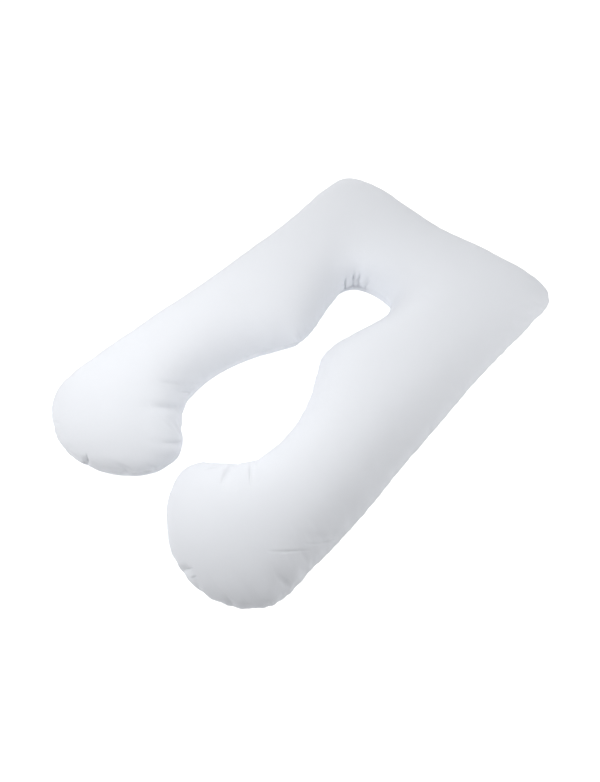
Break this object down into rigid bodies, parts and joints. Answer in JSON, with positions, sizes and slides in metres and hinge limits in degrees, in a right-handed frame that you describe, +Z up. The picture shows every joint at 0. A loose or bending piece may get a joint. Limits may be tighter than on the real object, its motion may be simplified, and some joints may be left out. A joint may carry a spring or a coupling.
{
  "type": "body pillow",
  "caption": "U-shaped full-body pillow: a plain white cotton cover of equal front and back panels, sewn edge to edge and stuffed, lying flat on its back panel.",
  "frame": {"origin": "on the surface that the pillow lies on, under the middle of its bounding box", "axes": "+Y towards the head end that joins the arms, +X towards the right arm, +Z up out of the front panel"},
  "size_m": [0.8198, 1.2962, 0.1808],
  "materials": {
    "white_cotton": "matte smooth plain weave"
  },
  "bodies": {
    "root": {"body_pillow": "white_cotton"}
  },
  "joints": []
}
